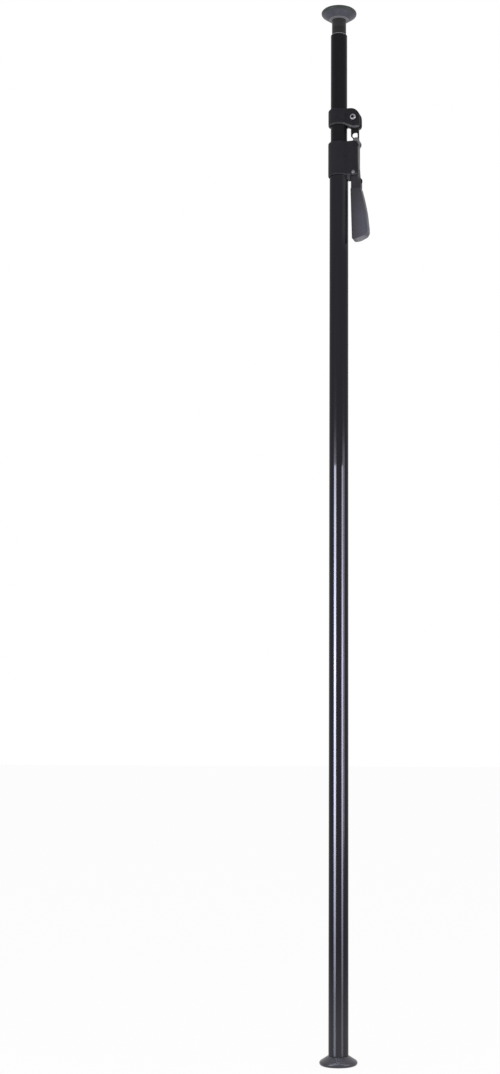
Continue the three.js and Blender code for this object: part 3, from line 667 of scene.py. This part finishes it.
collar = cast("collar", [sleeve, cheeks, lug], collar_cuts, 0.7)
placed("collar_cast", collar, collar_coat, "casting_black", "root", "collar")


# Pins and rivets of the collar. Steel: the pivot pin is turned and coated with the casting, the strike pin and the
# rivets are headed from wire and rubbed bare. The rivets at the back go through the collar and the tube's wall.
blackened = steel_finish("steel_blackened", (0.06, 0.06, 0.065, 1), 0.35)
rubbed_pin = steel_finish("steel_pin_rubbed", (0.17, 0.168, 0.18, 1), 0.42)


def headed(radius, head, rise, centre, seat):
    """A pin with a domed head on each side."""
    half = [(0, seat + rise, 0), (head * 0.6, seat + rise, 0.8), (head, seat + rise * 0.35, 0.6), (head, seat, 0.2),
            (radius, seat, 0)]
    other = [(r, -y, rounding) for r, y, rounding in reversed(half)]
    return across(half + other, centre)


pivot_pin = across([(0, -12, 0), (3.2, -12, 0.5), (3.2, 12, 0.5), (0, 12, 0)], PIVOT)
placed("pivot_pin_turned", pivot_pin, black_coat, "steel", "root", "pivot_pin")
placed("strike_pin_headed", headed(2.5, 4, 1.2, STRIKE, 12.3), rubbed_pin, "steel", "root", "strike_pin")
rivet = [(0, 18.2, 0), (2.4, 18.2, 0.4), (2.4, 23.3, 0), (4, 23.3, 0.15), (3.7, 23.9, 0.3), (2.2, 24.4, 0.6),
         (0, 24.5, 0)]
for number, height in enumerate(RIVET_HEIGHTS, 1):
    placed(f"collar_rivet_{number}_headed", across(rivet, (0, height)), rubbed_pin, "steel", "root",
           f"collar_rivet_{number}")


# Lever arm. An aluminium casting with a lobe on the pivot pin, two ears for the link's pin and a tang in the grip.
# Dark paint on the arm; the lobe and the ears, which rub in the collar, are worn to lighter metal. The upper part of
# the outer side has a painted light in that lighter colour. A slot through the arm takes the safety catch.
lever_paint = coat_finish("lever_paint_grey", (0.0195, 0.0175, 0.0235, 1), (0.13, 0.13, 0.145, 1), 0.5, 0.6,
                          (0.42, 0.54), 0.2)
height = lever_paint.level("Z")
bare = lever_paint.ramp(height, 1888, 1896) * lever_paint.ramp(lever_paint.noise(5), 0.3, 0.6, 0.75, 1.0)
# Painted light: the upper part of the arm's outer side is lighter.
outside = lever_paint.ramp(lever_paint.level("X"), 42.5, 44.5) * lever_paint.ramp(height, 1815, 1830) * 0.55
lever_paint.look(lever_paint.blend(bare | outside, lever_paint.base, (0.15, 0.152, 0.163, 1)),
                 lever_paint.rough - bare * 0.08)
ARM_TOP_OUTER, ARM_WAIST_OUTER, ARM_FOOT_OUTER, ARM_FOOT = 44.2, 46.4, 49.6, 1797.3
STEP = pivot_z - 71
LEVER_HALF, LOBE, EAR = 7, 9.9, 5.7
TANG_INNER, TANG_OUTER, TANG_HALF = 36, 46, 4
TANG_FOOT, TANG_TOP = 1712.5, 1802.3
STRIKE_NOTCH, CATCH_PIN_HOLE = 3.6, 1.7
SCREW_HEIGHTS, GRIP_SCREW_HOLE = (1771.0, 1735.0), 2.2
crank_x, crank_z = CRANK
arm = slab([(LEVER_INNER, pivot_z), (LEVER_INNER, ARM_FOOT), (ARM_FOOT_OUTER, ARM_FOOT),
            (ARM_FOOT_OUTER, STEP - 3, 1), (ARM_WAIST_OUTER, STEP, 1), (ARM_TOP_OUTER, pivot_z - 36),
            (ARM_TOP_OUTER, pivot_z)], 2 * LEVER_HALF, 0.9)
lobe = pin(LOBE, (pivot_x, pivot_z + 3.2), -LEVER_HALF, LEVER_HALF, 96)
ears = pin(EAR, CRANK, -LEVER_HALF, LEVER_HALF, 64)
neck = brick((crank_x - EAR, -LEVER_HALF, pivot_z - 1), (crank_x + EAR, LEVER_HALF, crank_z))
tang = brick((TANG_INNER, -TANG_HALF, TANG_FOOT), (TANG_OUTER, TANG_HALF, TANG_TOP))

# The slot between the ears, in which the link turns, goes round the boss on the pivot pin.
boss = 4.7
slot_floor = pivot_z + boss
crank_slot = slab([(pivot_x - 15, slot_floor), (pivot_x, slot_floor), (pivot_x + boss, pivot_z + boss / 2),
                   (pivot_x + boss, pivot_z), (pivot_x + 15, pivot_z - 5), (pivot_x + 15, pivot_z + 25),
                   (pivot_x - 15, pivot_z + 25)], 6.8)

# A nick across the front ear, where the link's pin is staked.
stake = slab([(crank_x - 5, crank_z - 6.1), (crank_x + 6.1, crank_z + 5), (crank_x + 5, crank_z + 6.1),
              (crank_x - 6.1, crank_z - 5)], 2)
bmesh.ops.translate(stake, vec=(0, -7.1, 0), verts=stake.verts)


def inward(outline, height):
    """A body turned about the level line from the middle of the pole towards the lever, at a height."""
    shape = turned(outline, 40, segments=3)
    bmesh.ops.rotate(shape, verts=shape.verts, cent=(0, 0, 0), matrix=Matrix.Rotation(math.pi / 2, 3, "Y"))
    bmesh.ops.translate(shape, verts=shape.verts, vec=(0, 0, height))
    return shape


notch = [pin(STRIKE_NOTCH, STRIKE, -12, 12),
         brick((22, -13, strike_z - STRIKE_NOTCH), (strike_x, 13, strike_z + STRIKE_NOTCH))]
catch_room = brick((21, -CATCH_SLOT_HALF, CATCH[1] - 12.5), (57, CATCH_SLOT_HALF, CATCH[1] + 19))
pin_holes = [hole(PIN_HOLE, PIVOT), hole(SMALL_PIN_HOLE, CRANK), hole(CATCH_PIN_HOLE, CATCH)]
screw_hole = [(0, 30), (GRIP_SCREW_HOLE, 30), (GRIP_SCREW_HOLE, 43.3), (0, 43.3)]
screw_holes = [inward(screw_hole, height) for height in SCREW_HEIGHTS]
lever_cuts = [crank_slot] + notch + [catch_room] + pin_holes + screw_holes + [stake]
lever_arm = cast("lever", [arm, lobe, ears, neck, tang], lever_cuts, 0.45)
placed("lever_arm_cast", lever_arm, lever_paint, "casting_grey", "lever", "lever_arm")
link_pin = across([(0, -6.5, 0), (1, -6.5, 0), (1.2, -7, 0), (2.5, -7, 0.4), (2.5, 7, 0.4), (0, 7, 0)], CRANK)
placed("link_pin_turned", link_pin, rubbed_pin, "steel", "lever", "link_pin")
catch_pin = across([(0, -7, 0), (1.5, -7, 0.3), (1.5, 7, 0.3), (0, 7, 0)], CATCH, 32)
placed("catch_pin_turned", catch_pin, blackened, "steel", "lever", "catch_pin")


# Grip. Dark blue-grey moulded plastic on the lever's tang, round in section, with a parting line and a dimple.
# Two cross head screws from the side towards the tube hold it.
GRIP_TOP, GRIP_TOE, GRIP_OUTER, GRIP_WIDE = 1797.0, 1684.7, 65.2, 22
GRIP_LEAN, GRIP_LENGTH = 3.2, 114.5
TANG_GAP = 0.3
grip_plastic = Finish("grip_blue_grey", specular_ior_level=0.3)
cloud = grip_plastic.noise(16, detail=4)
grain = grip_plastic.noise(0.7, detail=3)
rub = grip_plastic.edges(2.0) * grip_plastic.ramp(cloud, 0.35, 0.65)
depth = grip_plastic.level("Y")
seam = 1 - grip_plastic.ramp(depth * depth, 0.01, 0.06)
GRIP_TINT = (0.93, 0.92, 1.28)
outward, height = grip_plastic.level("X"), grip_plastic.level("Z")
# Painted shading: the grip is lighter towards its outer side and lower down, and darker at the top beside the tube.
painted_shading = grip_plastic.ramp(outward + cloud * 8, 32, 60)
painted_shading = painted_shading * grip_plastic.ramp(height, GRIP_TOP - 6, GRIP_TOP - 62, 0.28, 1.0)
base = grip_plastic.blend(painted_shading, grey(0.0165, (1, 0.97, 1.15)), grey(0.058, GRIP_TINT))
# Lighter grey along the underside of the toe.
lighter_toe = grip_plastic.ramp(height - outward * 0.3, GRIP_TOE - 10, GRIP_TOE - 12.5)
grip_plastic.look(grip_plastic.blend(rub * 0.3 | lighter_toe * 0.9, base, grey(0.18, (0.98, 0.98, 1.1))),
                  grip_plastic.ramp(cloud, 0.3, 0.7, 0.42, 0.54) - rub * 0.1)
grip_plastic.bump(grain * 0.5 + seam * 1.5, 0.08)


def grip_inner_at(height):
    """How far out the grip's side towards the tube lies at a height."""
    return LEVER_INNER + GRIP_LEAN * (GRIP_TOP - height) / GRIP_LENGTH


grip_body = slab([(LEVER_INNER, GRIP_TOP, 1), (grip_inner_at(GRIP_TOE), GRIP_TOE, 4),
                  (grip_inner_at(GRIP_TOE) + 14, GRIP_TOE, 5), (GRIP_OUTER, GRIP_TOE + 9.5, 8),
                  (GRIP_OUTER, GRIP_TOE + 24, 3), (61.5, GRIP_TOP - 54, 9), (55.2, GRIP_TOP - 22, 9),
                  (ARM_FOOT_OUTER, GRIP_TOP, 1)], GRIP_WIDE, 6, rim_segments=8)
tang_room = brick((TANG_INNER - TANG_GAP, -TANG_HALF - TANG_GAP, TANG_FOOT - TANG_GAP),
                  (TANG_OUTER + TANG_GAP, TANG_HALF + TANG_GAP, GRIP_TOP + OVERCUT))
dimple = across([(0, -12, 0), (3.2, -12, 0), (3.0, -10.8, 0.3), (0, -10.5, 0)], (44.5, 1731), 40)
grip_cuts = [tang_room, dimple]
for height in SCREW_HEIGHTS:
    seat = grip_inner_at(height) + 3
    grip_cuts.append(inward([(0, seat - 12), (3.8, seat - 12), (3.8, seat), (GRIP_SCREW_HOLE, seat),
                             (GRIP_SCREW_HOLE, 37), (0, 37)], height))
grip = cast("grip", [grip_body], grip_cuts, crease=40)
placed("lever_grip_moulded", grip, grip_plastic, "grip", "lever", "lever_grip")
for number, height in enumerate(SCREW_HEIGHTS, 1):
    seat = grip_inner_at(height) + 2.7
    head = seat - 2.4
    outline = [(0, head), (2, head, 0.6), (3.3, head + 0.9, 0.7), (3.5, seat, 0.2), (2, seat)] + thread(
        2, 1.6, seat + 0.6, 42.4, 0.8) + [(0, 43)]
    recess = [brick((head - 1, -1.9, height - 0.4), (head + 1.3, 1.9, height + 0.4)),
              brick((head - 1, -0.4, height - 1.9), (head + 1.3, 0.4, height + 1.9))]
    grip_screw = cast("screw", [inward(outline, height)], recess)
    placed(f"grip_screw_{number}_cross", grip_screw, zinc, "steel", "lever", f"grip_screw_{number}")


# Safety catch in the lever. A black pressed hook under the strike pin with a ribbed thumb tab outside the arm.
# A coil spring of steel wire under its arm returns it.
catch_plate = slab([(29.2, 1819, 1.8), (29.2, 1831.7, 0.6), (31.5, 1831.7, 0.6), (31.5, 1827.7, 1.1),
                    (42, 1825, 3), (51.4, 1818, 2), (51.4, 1810, 2), (46, 1812.3, 2), (38, 1819, 1.8)], 4, 0.5)
RIBS, RIB_PITCH = 4, 1.4
ribs = [pin(0.45, (51.1, 1812 + RIB_PITCH * i), -1.7, 1.7, 16) for i in range(RIBS)]
safety_catch = cast("catch", [catch_plate], [pin(CATCH_PIN_HOLE, CATCH, -9, 9, 32)] + ribs)
placed("safety_catch_pressed", safety_catch, black_coat, "casting_black", "catch", "safety_catch")

SPRING_PLACE, SPRING_FOOT, SPRING_TOP = 35.0, 1811.1, 1818.7
COIL, WIRE, TURNS, TURN_STEPS = 1.7, 0.35, 6, 24
spring = bmesh.new()
bmesh.ops.create_circle(spring, segments=10, radius=WIRE, cap_ends=False)
bmesh.ops.rotate(spring, verts=spring.verts, cent=(0, 0, 0), matrix=Matrix.Rotation(math.pi / 2, 3, "X"))
bmesh.ops.translate(spring, verts=spring.verts, vec=(SPRING_PLACE + COIL - WIRE, 0, SPRING_FOOT + WIRE))
rise = (SPRING_TOP - SPRING_FOOT - 2 * WIRE) / (TURNS * TURN_STEPS)
bmesh.ops.spin(spring, geom=spring.verts[:] + spring.edges[:], cent=(SPRING_PLACE, 0, SPRING_FOOT),
               axis=(0, 0, 1), dvec=(0, 0, rise), angle=2 * math.pi * TURNS, steps=TURNS * TURN_STEPS)
bmesh.ops.holes_fill(spring, edges=[rim for rim in spring.edges if rim.is_boundary])
bmesh.ops.recalc_face_normals(spring, faces=spring.faces)
placed("catch_spring_coil", spring, zinc, "steel", "catch", "catch_spring", crease=60)


# Thrust link. A black forged strap from the lever's crank to the clamp, with a half round window.
# Its wide top eye takes the clamp's bolt.
link_paint = coat_finish("link_paint_black", (0.0105, 0.0105, 0.012, 1), (0.09, 0.09, 0.1, 1), 0.45)
FOOT_EYE, TOP_EYE, TOP_EYE_BORE = 5.2, 10.0, 7.6
LINK_HALF = 3
bolt_x, bolt_z = BOLT
waist = bolt_z - TOP_EYE
outer, inner = crank_x + 5.4, crank_x - 11.7
strap = slab([(crank_x - FOOT_EYE, crank_z), (outer, crank_z), (outer, waist), (bolt_x + TOP_EYE, bolt_z),
              (bolt_x - TOP_EYE, bolt_z), (inner, waist), (inner, crank_z + 10), (crank_x - 7.4, crank_z + 5.7),
              (crank_x - 7.4, crank_z + 3.7)], 2 * LINK_HALF, 0.5)
sill, arch = crank_z + 6.4, crank_z + 18.4
window = slab([(crank_x - 5.4, sill), (crank_x + 2.9, sill), (crank_x + 2.9, arch, 5), (crank_x - 9.3, arch, 5),
               (crank_x - 9.3, crank_z + 10.3)], 8)
eyes = [pin(FOOT_EYE, CRANK, -LINK_HALF, LINK_HALF, 64), pin(TOP_EYE, BOLT, -LINK_HALF, LINK_HALF, 64)]
link_cuts = [window, pin(SMALL_PIN_HOLE, CRANK, -9, 9), pin(TOP_EYE_BORE, BOLT, -9, 9, 64)]
thrust_link = cast("link", [strap] + eyes, link_cuts, 0.4)
placed("thrust_link_forged", thrust_link, link_paint, "casting_black", "link", "thrust_link")


# Clamp. A split casting round the upper tube with a deeper knuckle, black like the collar. Its foot's edges are
# lighter, partly rubbed bright and partly a painted highlight with glints. The hex socket bolt pinches it and
# carries the link;
# a washer and a nut close it at the back.
CLAMP_FOOT, CLAMP_TOP, CLAMP_RADIUS = 1939.0, 1975.0, 22.7
KNUCKLE_FOOT, KNUCKLE_OUTER = CLAMP_FOOT - 7, 48.3
CLAMP_BORE, BOLT_HOLE = 18.05, 4.2
clamp_coat = coat_finish("powder_coat_clamp", (0.0155, 0.0148, 0.0185, 1), (0.15, 0.15, 0.16, 1), 0.7,
                         foot=(CLAMP_FOOT, KNUCKLE_FOOT))
band = turned([(0, CLAMP_FOOT), (CLAMP_RADIUS, CLAMP_FOOT, BAND_BEVEL), (CLAMP_RADIUS, CLAMP_TOP, BAND_CROWN),
               (0, CLAMP_TOP)], 128)
slope_start, slope_end = FOOT_SLOPE
knuckle = slab([(0, CLAMP_FOOT), (slope_start, CLAMP_FOOT), (slope_end, KNUCKLE_FOOT, 4),
                (KNUCKLE_OUTER, KNUCKLE_FOOT, 7.5), (KNUCKLE_OUTER, CLAMP_TOP, 21), (0, CLAMP_TOP)],
               CHEEKS_WIDE, CHEEK_EDGE)
below, above = CLAMP_FOOT - 15, CLAMP_TOP + OVERCUT
clamp_bore = turned([(0, below), (CLAMP_BORE, below), (CLAMP_BORE, above), (0, above)], 128)
split = brick((0, -LINK_SLOT_HALF, below), (54, LINK_SLOT_HALF, above + 1))
tube_clamp = cast("clamp", [band, knuckle], [clamp_bore, split, hole(BOLT_HOLE, BOLT)], 0.6)
placed("tube_clamp_cast", tube_clamp, clamp_coat, "casting_black", "clamp", "tube_clamp")

HEAD_RADIUS, HEAD_SEAT, CROWN = 6.9, -12.3, -16.7
bolt_steel = steel_finish("steel_bolt", (0.28, 0.285, 0.3, 1), 0.3, 0.4)
aside, lift = bolt_steel.level("X") - bolt_x, bolt_steel.level("Z") - bolt_z
# The inside of the hex socket is painted nearly black: painted shade.
inside = (1 - (aside * aside + lift * lift > 3.6 ** 2)) * (bolt_steel.level("Y") > CROWN + 0.2)
bolt_steel.feed(bolt_steel.shader.inputs["Base Color"],
                bolt_steel.blend(inside, bolt_steel.base, (0.03, 0.03, 0.032, 1)))
SOCKET_ACROSS, NUT_ACROSS = 6, 13
WASHER_FRONT, WASHER_BACK, NUT_FRONT, NUT_BACK = 12.3, 13.9, 14.2, 20.7
bolt_head = [(0, CROWN, 0), (5, CROWN, 0.5), (HEAD_RADIUS, CROWN + 1.7, 0.9), (HEAD_RADIUS, HEAD_SEAT, 0.3),
             (4, HEAD_SEAT, 0)]
bolt_shank = [(radius, depth, 0) for radius, depth in thread(4, 3.5, 2, 21.4, 1.25)]
bolt_shape = across(bolt_head + bolt_shank + [(3.4, 21.9, 0), (0, 21.9, 0)], BOLT, 64)
socket = pin(SOCKET_ACROSS / math.sqrt(3), BOLT, CROWN - 5, CROWN + 4, 6)
placed("clamp_bolt_turned", cast("bolt", [bolt_shape], [socket]), bolt_steel, "steel", "clamp", "clamp_bolt")
washer = across([(BOLT_HOLE, WASHER_FRONT, 0), (8, WASHER_FRONT, 0.3), (8, WASHER_BACK, 0.5),
                 (BOLT_HOLE, WASHER_BACK, 0.2)], BOLT, 64, closed=True)
placed("clamp_washer_stamped", washer, zinc, "steel", "clamp", "clamp_washer")
nut_chamfer = across([(0, NUT_FRONT), (6.7, NUT_FRONT), (7.55, 15), (7.55, 19.9), (6.7, NUT_BACK), (0, NUT_BACK)],
                     BOLT, 64)
nut = cast("nut", [pin(NUT_ACROSS / math.sqrt(3), BOLT, NUT_FRONT, NUT_BACK, 6)], [pin(BOLT_HOLE, BOLT, 10, 25)],
           common=[nut_chamfer])
placed("clamp_nut_hex", nut, zinc, "steel", "clamp", "clamp_nut")
